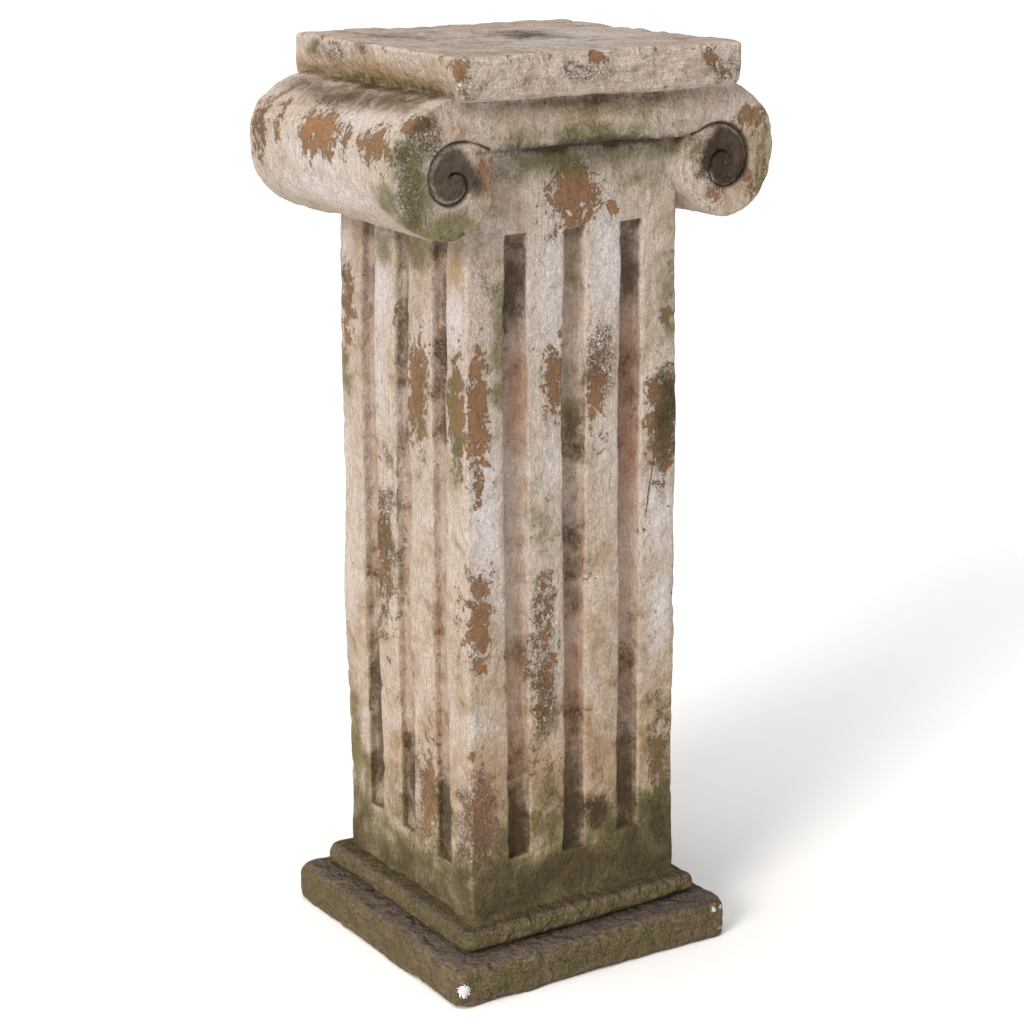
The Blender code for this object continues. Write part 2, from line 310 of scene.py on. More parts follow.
def shaft_surface():
    """Fluted shaft: a tapered, leaning square whose faces sink along three flutes each.

    The sinking is the product of the column's share and the row's share of the flute depth.
    Near a flute's end the rows are moved up or down, flute by flute, as the hand-cut ends are.
    The foot flares over its last 5 mm into the step.
    """
    place, column_share = flute_columns()
    height, row_share = shaft_rows()
    length = SLAB_BASE_Z - SHAFT_BASE_Z
    taper = (height - SHAFT_BASE_Z) / length
    half = SHAFT_FOOT_HALF + (SHAFT_HEAD_HALF - SHAFT_FOOT_HALF) * taper
    half = half + 0.0042 * falloff(height - SHAFT_BASE_Z, 0.0050, 2.2)
    corner = np.full(len(height), 0.0032)
    reach = SHAFT_HEAD_HALF - ARRIS
    beyond = np.clip((np.abs(place) - 0.0630) / (reach - 0.0630), 0, 1)
    grow = (half - corner)[:, None] - reach
    along = place + np.sign(place) * beyond * grow
    nearer = np.interp(place, [0.0125, 0.0370, 0.0625, 0.0875], [0, 0.0030, 0.0030, 0])
    alongs = [along + (nearer if face == FACE_LEFT else 0) for face in range(4)]
    near_foot, near_head = (smooth(1 - np.abs(height - end) / 0.036)[:, None]
                            for end in (FLUTE_FOOT_Z, FLUTE_HEAD_Z))
    fade = 1 - 0.30 * smooth((0.30 - height) / 0.22)
    corner_gap = np.zeros((len(height), 4))
    sinks, rises, sunk = [], [], []
    ease_x = (-0.0905, *FLUTE_CENTRES, 0.0905)
    for face in range(4):
        foot, head, deep = (np.interp(place, ease_x, (edge, *values, edge))
                            for values, edge in zip(FLUTE_HAND[face], (0, 0, 1)))
        for centre, low, high, _ in zip(FLUTE_CENTRES, *FLUTE_HAND[face]):
            inside = np.abs(place - centre) < FLUTE_HALF + 0.0022
            foot = np.where(inside, low, foot)
            head = np.where(inside, high, head)
        depth = FLUTE_DEPTH * column_share * row_share[:, None] * deep
        sinks.append(depth * fade[:, None])
        rises += [near_foot * foot + near_head * head, corner_gap]
        sunk += [smooth(depth / 0.0045), corner_gap]
    plan = around_square(half, corner, alongs, 4, sinks)
    heights = height[:, None] + np.concatenate(rises, axis=1)
    lean = np.clip((heights - SHAFT_BASE_Z) / length, 0, 1)
    bow = smooth((heights - 0.10) / 0.18) * smooth((0.66 - heights) / 0.22)
    plan[..., 0] += SHAFT_LEAN_X * lean - SHAFT_LEFT_BOW * bow * smooth(-plan[..., 0] / 0.09)
    plan[..., 1] += SHAFT_LEAN_Y * lean
    sunk = np.concatenate(sunk, axis=1).ravel()
    return (*closed_stack(plan, heights, SHAFT_ROOT_Z, SHAFT_TOP_Z),
            {"sunk": np.append(sunk, [0, 0])})


def slab_surface():
    """Top slab: one path in section carried round a rounded square and in to the middle.

    The path swells out over the lower half of the face and turns over a worn top edge. On the
    two bolster sides the face leans in toward its foot as a cove, and the cove dies out at the
    upright corners by an eased step.
    """
    top_z = SLAB_TOP_Z - 0.0004
    path = path_points([
        (0.1000, SLAB_BASE_Z + 0.0006, 0), (SLAB_HALF - 0.0008, SLAB_BASE_Z + 0.0002, 0.0048),
        (SLAB_HALF + 0.0006, 0.6820, 0.0080), (SLAB_HALF - 0.0006, top_z, 0.0028),
        (0.1080, top_z, 0.004), (0.0900, top_z, 0)])
    rings = np.linspace(0.0870, 0.0020, 44)
    half = np.concatenate([path[:, 0], rings])
    height = np.concatenate([path[:, 1], 0 * rings + top_z])
    plan, heights = carried_round(half, height, 0.0085 * np.clip(half / 0.115, 0.05, 1), 150, 7)
    x, y = plan[..., 0], plan[..., 1]
    lower = np.clip((SLAB_TOP_Z - 0.003 - heights) / 0.029, 0, 1) ** 1.25
    between = smooth((SLAB_HALF - 0.0025 - np.abs(y)) / 0.020)
    outer = np.clip(np.abs(x) / SLAB_HALF, 0, 1) ** 10
    plan[..., 0] = x - np.sign(x) * 0.0095 * lower * between * outer
    plan[..., 0] += SLAB_RIGHT_REACH * smooth(x / SLAB_HALF) * (1 - 0.5 * lower)
    return closed_stack(plan, heights, SLAB_BASE_Z + 0.0006, top_z)


def disc_edge(side):
    """Edge of a scroll's disc as (turn, radius) about its middle, from 45 to 405 degrees.

    The turn runs from straight up, outward and down. Up to 270 degrees the radius is the
    scroll's rim, given at eighths of a turn and eased between them by a cubic through
    neighbours. Then come the inner side, the seam with the band, a hidden top and the shoulder.
    """
    turn = np.linspace(RIM_START, RIM_END, 91)
    stage = np.minimum((turn - RIM_START) / 45, 4.9999)
    first = stage.astype(int)
    share = stage - first
    radii = RIM_RADII[side]
    padded = np.array((radii[0],) + radii + (radii[-1],))
    before, here, there, after = (padded[first + step] for step in range(4))
    radius = (here + share * (there - before) / 2
              + share ** 2 * (2 * before - 5 * here + 4 * there - after) / 2
              + share ** 3 * (3 * here - before - 3 * there + after) / 2)
    run = np.linspace(0, 1, 60)[1:]
    seam, seam_foot, hidden_top = SEAM_X - DISC_X, FASCIA_FOOT_Z - DISC_Z, HIDDEN_TOP_Z - DISC_Z
    start = math.radians(RIM_START)
    rim_start = radii[0] * np.array([math.sin(start), math.cos(start)])
    join = np.array([-0.0031, 0.0602])
    stops = [(-radii[-1], 0), (seam, seam_foot), (seam, hidden_top), (-0.0140, hidden_top), join]
    pieces = [np.outer(1 - run, here) + np.outer(run, there) for here, there in zip(stops, stops[1:])]
    shoulder = join + (rim_start - join) * run[:, None]
    shoulder[:, 1] = rim_start[1] + (join[1] - rim_start[1]) * (1 - run ** 2)
    rest = np.concatenate(pieces + [shoulder])
    rest_turn = np.degrees(np.unwrap(np.arctan2(rest[:, 0], rest[:, 1]))) + FULL_TURN
    return np.concatenate([turn, rest_turn]), np.concatenate([radius, np.hypot(*rest.T)])


def groove_radius(turn, spiral):
    """Radius of the spiral groove: it tightens toward the eye as a power of the turn left."""
    share = np.clip((turn - GROOVE_START) / (GROOVE_END - GROOVE_START), 0, 1)
    radius = spiral["end"] + (spiral["start"] - spiral["end"]) * (1 - share) ** spiral["power"]
    return radius + spiral["lead"] * np.exp(-np.clip(turn - GROOVE_START, 0, None) / 9)


def groove_sinking(turn):
    """Depth of the groove: it starts at under half, is deepest on the first turn, and fades."""
    start = 0.45 + 0.55 * smooth((turn - GROOVE_START) / 30)
    return GROOVE_DEPTH * start * (1 - 0.30 * smooth((turn - 500) / 200)) * smooth(
        (GROOVE_END - turn) / 26)


def carving(x, z):
    """Depth of carving behind the front plane, the strength of the painted shade along its groove, and
    its coil's dirt.

    On the band the face rolls in over its lower edge and draws back under the slab. On a scroll
    the flat ring drops steeply into the groove, and the coil inside rises from the groove as
    the convex back of a shell, turn after turn, to the knob at the eye.
    """
    side = np.where(x < 0, -1, 1)
    under_slab = 0.0034 * smooth((z - 0.6490) / 0.019) * smooth((0.142 - np.abs(x)) / 0.04)
    belly = 0.0016 * np.clip((0.6480 - z) / 0.0152, 0, 1) ** 2 * smooth((0.10 - np.abs(x)) / 0.02)
    depth = under_slab + belly + 0.999 * rounding(z - FASCIA_FOOT_Z)
    groove, coiled = np.zeros_like(x), np.zeros_like(x)
    for sign, spiral in SPIRALS.items():
        on_disc = (np.abs(x) > SEAM_X + 1e-9) & (side == sign)
        out = np.abs(x) - spiral["eye"][0]
        up = z - spiral["eye"][1]
        radius = np.hypot(out, up)
        angle = np.degrees(np.arctan2(out, up)) % FULL_TURN
        outer_turn = np.where(angle >= GROOVE_START, angle, angle + FULL_TURN)
        outer = groove_radius(outer_turn, spiral)
        inner_turn = outer_turn + FULL_TURN
        inner = np.where(inner_turn <= GROOVE_END, groove_radius(inner_turn, spiral), 0.0)
        inner_sink = np.where(inner_turn <= GROOVE_END, groove_sinking(inner_turn), 0.0)
        outer_sink = groove_sinking(outer_turn)
        ring = outer_sink * falloff(radius - outer, LIP_WIDTH, 2.4) + under_slab + belly
        from_outer = np.clip(outer - radius, 0, None)
        climb = 1 - falloff(from_outer, np.clip(0.85 * (outer - inner), 0.002, 0.0125), 2.1)
        coil = outer_sink - (outer_sink + 0.0004) * climb + 0.0016 * smooth(from_outer / 0.020)
        coil = coil + inner_sink * falloff(radius - inner, 0.0018, 2.2)
        knob_climb = 1 - falloff(np.clip(inner - radius, 0, None), 0.0050, 3.0)
        knob = inner_sink - (inner_sink - 0.0012) * knob_climb
        begun = np.where(angle < GROOVE_START, 1.0, smooth((angle - GROOVE_START) / 44))
        dips = (outer_sink * falloff(np.abs(radius - outer), LIP_WIDTH, 2.4)
                + inner_sink * falloff(np.abs(radius - inner), LIP_WIDTH, 2.4))
        coil = begun * coil + (1 - begun) * (dips + under_slab + belly)
        carved = np.where(radius > outer, ring, np.where(radius > inner, coil, knob))
        depth = np.where(on_disc, carved, depth)
        # Painted shade along the groove's curves, darkest at their middle
        groove_shade = np.maximum(np.exp(-np.abs(radius - outer) / GROOVE_SHADE_WIDTH),
                           (inner > 0) * np.exp(-np.abs(radius - inner) / GROOVE_SHADE_WIDTH))
        groove = np.where(on_disc, groove_shade, groove)
        below_start = angle < GROOVE_START
        open_end = np.where(below_start, smooth((angle - 215) / 60), smooth((372 - angle) / 66))
        reach = spiral["dirty"] + 0.012 * (1 - open_end) - np.hypot(out - spiral["aside"], up)
        inside = np.maximum(smooth((outer - radius) / 0.006), open_end * below_start)
        coiled = np.where(on_disc, inside * smooth(reach / 0.014), coiled)
    return depth, groove, coiled


def capital_surface():
    """Capital: a front and a back face of two polar discs and a band, and a wall round them.

    A disc's rows are fractions of the way from its middle to its edge, crowded where the groove
    runs and at the rounded rim. The band's grid shares the discs' seam points. The wall runs
    straight from each front edge point to its twin at the back.
    """
    seam_rise = np.concatenate([[0, 0.0003, 0.0008, 0.0016, 0.0026], np.linspace(0.004, 0.0472, 20)])
    seam_out, seam_up = SEAM_X - DISC_X, FASCIA_FOOT_Z - DISC_Z + seam_rise
    seam_turn = FULL_TURN + np.degrees(np.arctan2(seam_out, seam_up))
    before = np.linspace(RIM_START, seam_turn[0], 105)[:-1]
    after = np.linspace(seam_turn[-1], FULL_TURN + RIM_START, 32)[1:-1]
    turn = np.concatenate([before, seam_turn, after])
    seam = slice(len(before), len(before) + len(seam_turn))
    core = np.linspace(0, CORE_RADIUS, 36)[:, None]
    outer_share = np.linspace(0, 1, 30)[1:, None] ** 1.25
    edge_inset = RIM_ROUND * (1 - np.cos(np.linspace(math.pi / 2, 0, 6)))[1:, None]
    rim_weight = smooth((seam_turn[0] - turn) / 9) + smooth((turn - 352) / 16)
    angle = np.radians(turn)
    discs, grooves, coils = {}, {}, {}
    for side in (-1, 1):
        radius = np.interp(turn, *disc_edge(side))
        radius[seam] = np.hypot(seam_out, seam_up)
        grid_radius = np.concatenate([
            core + 0 * radius, CORE_RADIUS + outer_share * (radius - RIM_ROUND - CORE_RADIUS),
            radius - edge_inset])
        x = side * (DISC_X + grid_radius * np.sin(angle))
        z = DISC_Z + grid_radius * np.cos(angle)
        x[-1, seam] = side * SEAM_X
        z[-1, seam] = FASCIA_FOOT_Z + seam_rise
        depth, grooves[side], coils[side] = carving(x, z)
        depth = np.maximum(depth, rounding(radius - grid_radius) * rim_weight)
        discs[side] = np.stack([x, depth - FASCIA_HALF, z], axis=-1)
    x, z = np.meshgrid(np.linspace(-SEAM_X, SEAM_X, 104), discs[1][-1, seam, 2])
    band = np.stack([x, carving(x, z)[0] - FASCIA_HALF, z], axis=-1)
    band[:, 0], band[:, -1] = discs[-1][-1, seam], discs[1][-1, seam]
    rows, columns = grid_radius.shape
    disc_size = rows * columns
    disc_faces = quad_strip(rows, columns, True)
    band_faces = quad_strip(*band.shape[:2], False)
    front = np.concatenate([grid.reshape(-1, 3) for grid in (discs[1], discs[-1], band)])
    front_faces = np.concatenate([disc_faces, disc_faces[:, ::-1] + disc_size,
                                  band_faces + 2 * disc_size])
    # The loop of front edge points: right disc, band's foot, left disc and band's top
    right_loop = disc_size - columns + np.r_[seam.stop - 1:columns, 0:seam.start + 1]
    band_number = 2 * disc_size + np.arange(band.size // 3).reshape(band.shape[:2])
    loop = np.concatenate([right_loop, band_number[0, -2:0:-1], (right_loop + disc_size)[::-1],
                           band_number[-1, 1:-1]])
    mirror = np.array([1, -1, 1])
    share = np.linspace(0, 1, WALL_ROWS)[:, None, None]
    wall = front[loop] * (1 - share) + front[loop] * mirror * share
    wall[0], wall[-1] = front[loop], front[loop] * mirror
    points = np.concatenate([front, front * mirror, wall.reshape(-1, 3)])
    faces = np.concatenate([front_faces, front_faces[:, ::-1] + len(front),
                            quad_strip(WALL_ROWS, len(loop), True) + 2 * len(front)])
    _, first, number = np.unique(np.round(points, 7), axis=0, return_index=True,
                                 return_inverse=True)
    faces = number.ravel()[faces]
    # A quad with two points in one place becomes a triangle, or nothing
    distinct = faces != np.roll(faces, -1, axis=1)
    faces = [[corner for corner, kept in zip(*pair) if kept]
             for pair in zip(faces.tolist(), distinct.tolist())]
    marks = {}
    for key, parts in (("groove", grooves), ("coiled", coils)):
        face = np.concatenate([parts[1].ravel(), parts[-1].ravel(), np.zeros(band.size // 3)])
        marks[key] = np.concatenate([face, face, np.zeros(wall.size // 3)])[first]
    return points[first], [face for face in faces if len(face) > 2], marks


def wear(points, spots):
    """Strength of placed wear from 0 to 1: the strongest of soft blots, each a bell in 3-D.

    The spots are rows of millimetres and percent, as in WEAR.
    """
    total = np.zeros(len(points))
    for spot in np.array(spots):
        away = (1000 * points - spot[:3]) / spot[3:6]
        total = np.maximum(total, spot[6] / 100 * np.exp(-np.sum(away * away, axis=1)))
    return total


# Worn places of each kind. A spot is (x, y, z) and its reach along x, y and z in millimetres,
# then its strength in percent
WEAR = {
    # Where the paint has flaked off
    "bare": [
        (-4, -92, 597, 27, 30, 24, 100), (-4, -92, 577, 17, 30, 12, 80), (29, -92, 584, 6, 30, 11, 78),
        (-20, -92, 461, 12, 20, 31, 98), (-20, -92, 570, 4, 20, 10, 70), (16, -92, 450, 10, 20, 40, 86),
        (19, -92, 475, 16, 20, 30, 42), (76, -92, 418, 18, 30, 52, 84), (78, -92, 498, 8, 20, 12, 78),
        (-92, -76, 445, 20, 15, 46, 90), (-86, -92, 447, 12, 14, 56, 95), (-88, -92, 400, 7, 20, 30, 78),
        (-92, 80, 498, 20, 14, 40, 74), (-92, -24, 452, 20, 15, 50, 98), (-92, 31, 308, 20, 22, 80, 68),
        (-92, -31, 132, 20, 15, 48, 84), (-86, -92, 290, 13, 20, 42, 78), (-84, -92, 125, 12, 20, 55, 76),
        (-92, -88, 125, 20, 12, 45, 55), (-28, -92, 245, 15, 20, 100, 57), (78, -92, 150, 14, 30, 60, 72),
        (20, -92, 121, 15, 20, 17, 58), (-158, 91, 633, 30, 15, 25, 72), (-158, 63, 640, 30, 6, 18, 80),
        (-158, 3, 640, 30, 33, 21, 92), (-158, -38, 637, 30, 7, 13, 85), (-158, -78, 638, 30, 26, 19, 80),
        (-152, -108, 655, 20, 13, 7, 90), (-92, -107, 618, 8, 10, 15, 80),
        (142, -107, 643, 20, 20, 12, 75), (109, -107, 616, 18, 20, 20, 66),
        (107, -107, 588, 9, 20, 9, 85), (140, -107, 600, 20, 20, 20, 50),
        (-117, -118, 692, 13, 14, 9, 85), (-6, -119, 695, 11, 20, 6, 90), (-28, -119, 690, 11, 20, 8, 50),
        (93, -119, 689, 6, 20, 9, 85), (112, -119, 682, 12, 20, 12, 50),
        (0, -119, 697.5, 125, 10, 4.5, 36), (-119, 0, 697.5, 10, 120, 4, 34),
        (-112, -118, 672, 12, 12, 10, 50), (30, 92, 300, 30, 20, 60, 60), (-40, 92, 480, 20, 20, 30, 80),
        (92, 20, 420, 20, 22, 40, 85), (92, -60, 200, 20, 20, 50, 60), (158, 30, 625, 30, 26, 20, 90),
        (20, 107, 645, 30, 20, 10, 62),
    ],
    # Where the olive moss wash has gathered
    "moss": [
        (0, -92, 622, 95, 30, 15, 85), (62, -92, 604, 24, 30, 14, 60), (-68, -92, 486, 8, 20, 60, 80),
        (-29, -90, 357, 14, 20, 36, 45), (-32, -92, 240, 18, 20, 90, 20), (-20, -90, 109, 30, 30, 28, 70),
        (80, -92, 508, 12, 30, 40, 50), (80, -92, 425, 13, 30, 50, 50), (80, -92, 150, 18, 30, 75, 50),
        (-74, -92, 600, 10, 20, 30, 40), (-92, 85, 441, 20, 12, 30, 65), (-92, 29, 548, 20, 15, 14, 85),
        (-92, -22, 550, 20, 18, 14, 95), (-92, -74, 415, 20, 10, 36, 60), (-92, -74, 450, 20, 8, 40, 60),
        (-92, 83, 125, 20, 13, 70, 85), (-92, -22, 440, 20, 14, 46, 34), (-92, 34, 290, 20, 20, 60, 42),
        (-158, -88, 604, 30, 22, 16, 80), (-145, -110, 610, 17, 20, 40, 100),
        (-120, -108, 583, 32, 20, 14, 84), (-93, -110, 590, 10, 20, 30, 50),
        (152, -108, 612, 9, 20, 30, 60), (0, -108, 640, 110, 20, 9, 62), (50, -108, 655, 50, 20, 14, 50),
        (-119, 86, 690, 10, 14, 9, 70), (-119, 0, 673, 16, 130, 6, 70), (60, -92, 100, 50, 30, 20, 50),
        (0, 92, 615, 100, 30, 18, 70), (92, 0, 556, 20, 90, 14, 60), (92, 70, 300, 20, 16, 100, 55),
        (60, 92, 200, 30, 20, 90, 50),
    ],
    # Where the umber dirt wash lies dark, and painted shade: the dark line under the band's lower edge,
    # the band's top under the slab's overhang and the crease where the slab meets the bolsters
    "grime_and_shade": [
        (78, -92, 425, 14, 30, 40, 62), (-20, -92, 125, 18, 20, 26, 50), (20, -92, 118, 18, 20, 20, 80),
        # Painted shade: the spot at z 632 is the shadow line on the neck under the band
        (0, -95, 632, 94, 20, 6, 130), (-92, -24, 450, 20, 12, 34, 34), (80, -92, 140, 14, 30, 40, 45),
        (20, 6, 700, 32, 50, 10, 80), (-60, 60, 700, 50, 40, 10, 35), (112, -108, 611, 26, 10, 20, 55),
        # Painted shade: the long spots at x -133 and -117 lie in the crease under the slab's sides, the
        # one at z 664 under the slab's front overhang, and the one at x -70 under the band
        (-114, -108, 612, 16, 10, 16, 50), (-133, 0, 663, 18, 130, 12, 80),
        (-117, 0, 669, 10, 130, 5, 86), (0, -108, 664, 130, 20, 5, 62), (-70, -108, 634, 20, 10, 6, 50),
        # Painted shadow line along the band's lower edge
        (0, -106.5, 632.2, 105, 10, 2.4, 110),
    ],
    # Warm ochre wash
    "ochre": [
        (-116, 10, 676, 14, 130, 14, 100), (-92, -76, 553, 20, 13, 20, 100),
        (0, -107, 655, 120, 20, 14, 50), (40, -92, 280, 60, 30, 100, 40), (-70, -92, 600, 20, 30, 30, 40),
        (25, -92, 234, 14, 20, 90, 55), (135, -107, 600, 30, 20, 40, 60), (-92, 60, 200, 20, 30, 120, 45),
        (-73, -92, 240, 9, 20, 70, 50), (-132, 0, 662, 14, 130, 10, 60), (-92, -26, 520, 20, 14, 30, 50),
    ],
    # Rosy brown wash
    "rose": [
        (-92, 55, 480, 20, 12, 100, 45), (-92, 70, 540, 20, 20, 30, 40), (-82, -92, 130, 14, 20, 50, 85),
        (-84, -92, 500, 10, 20, 40, 25), (-116, -108, 650, 20, 10, 12, 45),
        (-92, -107, 617, 9, 10, 18, 90), (115, -108, 628, 20, 10, 12, 70),
    ],
    # Clean, pale lilac-grey chalk, and painted light: the thin strip down the front-left corner's arris
    # is a painted highlight, and the spots high on the left face's ribs under the bolster and on the left
    # bolster's lower curve lighten them as painted light
    "pale": [
        (-25, -92, 520, 22, 20, 70, 70), (25, -92, 540, 18, 20, 50, 95), (-80, -92, 370, 14, 20, 60, 95),
        (-20, -92, 400, 20, 20, 40, 60), (30, -92, 400, 20, 20, 50, 45), (74, -92, 345, 16, 20, 35, 90),
        (75, -92, 270, 14, 20, 40, 100), (-91, -92, 214, 4, 10, 28, 100), (-140, -30, 652, 30, 70, 8, 70),
        (-150, 0, 600, 30, 100, 14, 80), (0, -115, 690, 120, 20, 12, 25), (40, -20, 700, 90, 100, 10, 60),
        (-92, 32, 450, 20, 14, 60, 60), (-92, 85, 380, 20, 14, 30, 60), (-92, 30, 515, 20, 18, 40, 90),
        (-92, 80, 535, 20, 12, 30, 60), (-92, -74, 510, 20, 14, 28, 95), (-92, 83, 260, 20, 16, 90, 50),
        (-150, 10, 625, 30, 90, 20, 75), (-157, -106, 618, 6, 8, 30, 100),
    ],
    # Densely pitted, crackled and speckled places
    "speckled": [
        (19, -92, 475, 16, 20, 34, 100), (-28, -92, 240, 18, 20, 95, 75),
        (-85, -90, 125, 18, 30, 50, 100), (80, -92, 410, 16, 30, 50, 80), (-92, 30, 330, 20, 22, 80, 80),
        (-86, -50, 480, 12, 10, 80, 100), (-112, -118, 680, 20, 20, 20, 58),
        (106, -119, 684, 20, 20, 18, 62), (-20, -119, 688, 30, 20, 14, 60),
        (-158, 91, 633, 30, 20, 30, 60), (-140, -108, 640, 20, 10, 20, 90),
        (-92, -20, 130, 20, 30, 50, 60), (-150, -108, 610, 12, 12, 34, 90),
        (109, -108, 606, 20, 12, 20, 90), (-92, 80, 510, 20, 12, 30, 60), (-80, -92, 540, 12, 20, 30, 55),
        (-118, 60, 690, 12, 50, 12, 60), (0, 0, 700, 130, 130, 10, 30), (0, -119, 684, 110, 20, 18, 42),
        (0, -107, 648, 120, 20, 18, 36),
    ],
    # White chips, where the raw casting shows
    "chips": [
        (-119, -121, 15, 6, 8, 6.5, 100), (112, -124, 25, 2.4, 6, 2.4, 100),
        (119, -124, 25, 2.4, 6, 2.2, 100), (121, -124, 8, 10, 10, 6, 50), (-70, -125, 1, 60, 10, 3, 40),
        (50, -125, 1, 60, 10, 3, 42),
    ],
}

# Inside the flutes: umber dirt at their ends and in streaks, rosy brown between, and moss
FLUTE_WEAR = {
    "grime_and_shade": [
        (-52, -86, 532, 20, 20, 42, 100), (47, -86, 540, 20, 20, 45, 100),
        (-51, -86, 105, 20, 20, 70, 100), (1, -86, 115, 20, 20, 82, 105),
        (49, -86, 130, 20, 20, 110, 100), (-2, -86, 345, 20, 20, 30, 60), (-2, -86, 412, 20, 20, 34, 52),
        (0, -86, 305, 20, 20, 40, 45), (47, -86, 460, 20, 20, 80, 42), (-86, 50, 160, 20, 20, 110, 100),
        (-86, 0, 124, 20, 20, 60, 95), (-86, -50, 120, 20, 20, 60, 100), (-86, -50, 500, 20, 20, 120, 62),
        (-86, 0, 480, 20, 20, 120, 62), (-86, 50, 540, 20, 20, 50, 60), (0, 86, 530, 80, 20, 50, 80),
        (86, 0, 530, 20, 80, 50, 80), (0, 86, 120, 80, 20, 60, 80), (86, 0, 120, 20, 80, 60, 80),
    ],
    "rose": [
        (-50, -86, 450, 20, 20, 50, 80), (48, -86, 430, 20, 20, 120, 100), (-2, -86, 500, 20, 20, 50, 50),
        (-86, 50, 400, 20, 20, 200, 60), (-86, -50, 480, 20, 20, 120, 70), (0, -86, 240, 80, 20, 100, 60),
    ],
    "moss": [
        (-3, -86, 541, 20, 20, 36, 60), (-2, -86, 430, 20, 20, 60, 62), (-86, 0, 500, 20, 20, 80, 55),
        (0, 86, 450, 20, 20, 70, 60),
    ],
}


# Heights up to which the foot's earth, the moss and the ochre wash reach, and the foot's two
# creases, darkened as painted shade, each with its half width, its fade and its strength
EARTH_TOP_Z = 0.0520
MOSS_TOP_Z = 0.172
TINT_TOP_Z = 0.37
SHADED_CREASES = ((0.0335, 0.0050, 0.004, 0.75), (0.0515, 0.0040, 0.003, 0.70))


def weathering(points, normals, knocks, carved):
    """Strength of each mark at every point: placed wear, and washes that follow the form.

    Dirt and moss thicken toward the ground, dust lies where the foot's surfaces look up,
    knocks lay the ground bare, and the flutes and the scrolls' coils hold their own dirt.
    Painted shade darkens the foot's creases and the scrolls' grooves, and the sides that face
    the key light get painted light: weaker dark washes and more ochre.
    """
    marks = {name: wear(points, spots) for name, spots in WEAR.items()}
    in_flutes = {name: wear(points, spots) for name, spots in FLUTE_WEAR.items()}
    groove, coiled, sunk = (carved.get(name, 0 * knocks) for name in ("groove", "coiled", "sunk"))
    z = points[:, 2]
    facing_up = normals[:, 2]
    on_foot = smooth((EARTH_TOP_Z - z) / 0.0030)
    on_shaft = 1 - on_foot
    # Sides that face left face the key light: there the moss and dark washes are painted weaker and the
    # ochre stronger, as painted light
    left = smooth((-normals[:, 0] - 0.3) / 0.5)
    ragged = 0.030 * roughness_field(points, 0.034, 5) + 0.012 * roughness_field(points, 0.011, 6)
    low = smooth((MOSS_TOP_Z + ragged - 0.012 * left - z) / 0.105)
    tinted = smooth((TINT_TOP_Z + 2 * ragged - z) / 0.24) * on_shaft
    marks["dust"] = on_foot * smooth((facing_up - 0.55) / 0.3)
    marks["top"] = smooth((facing_up - 0.7) / 0.2) * smooth((z - 0.69) / 0.005)
    # Dark groove colour: painted shade along the grooves, and a weaker share of it as dirt over the coils
    marks["groove"] = np.maximum(groove, 0.36 * coiled)
    washes = [
        ("moss", low * on_shaft * (1.0 - 0.15 * left)),
        ("moss", on_foot * 0.36),
        ("moss", sunk * in_flutes["moss"]),
        ("grime_and_shade", low ** 2 * on_shaft * (0.68 - 0.14 * left)),
        ("grime_and_shade", tinted * (0.22 - 0.10 * left)),
        # Painted shade along the foot's two creases, in the dark wash's colour
        *(("grime_and_shade", strength * smooth((wide - np.abs(z - height)) / fade))
          for height, wide, fade, strength in SHADED_CREASES),
        ("grime_and_shade", 0.98 * coiled),
        ("grime_and_shade", sunk * np.maximum(0.85 * in_flutes["grime_and_shade"], 0.04)),
        ("ochre", tinted * (0.74 - 0.20 * left)),
        ("ochre", 0.08 * left),
        ("rose", 0.24 * coiled),
        ("rose", sunk * np.maximum(in_flutes["rose"], 0.34)),
        ("speckled", 0.26 * sunk),
        ("bare", 0.40 * np.clip(knocks / 0.0009, 0, 1)),
    ]
    for name, strength in washes:
        marks[name] = np.maximum(marks[name], strength)
    return marks


def linear(code):
    """Linear colour of an sRGB hex value."""
    parts = [int(code[start:start + 2], 16) / 255 for start in (1, 3, 5)]
    return tuple(part / 12.92 if part <= 0.04045 else ((part + 0.055) / 1.055) ** 2.4
                 for part in parts) + (1.0,)


def add(tree, kind, sockets=None, out=0, **settings):
    """Add a node with its settings, fill its sockets with values or links, and give an output."""
    item = tree.nodes.new(kind)
    for name, value in settings.items():
        setattr(item, name, value)
    for socket, value in (sockets or {}).items():
        if isinstance(value, bpy.types.NodeSocket):
            tree.links.new(value, item.inputs[socket])
        else:
            item.inputs[socket].default_value = value
    return item.outputs[out] if item.outputs else item


def weighed_sum(tree, total, terms):
    """Start value plus every term times its weight, each of which is a number or an output."""
    for term, weight in terms:
        total = add(tree, "ShaderNodeMath", {0: term, 1: weight, 2: total}, operation="MULTIPLY_ADD")
    return total


def new_material(name):
    """Empty node material, and its tree."""
    material = bpy.data.materials.new(name)
    material.use_nodes = True
    material.node_tree.nodes.clear()
    return material, material.node_tree


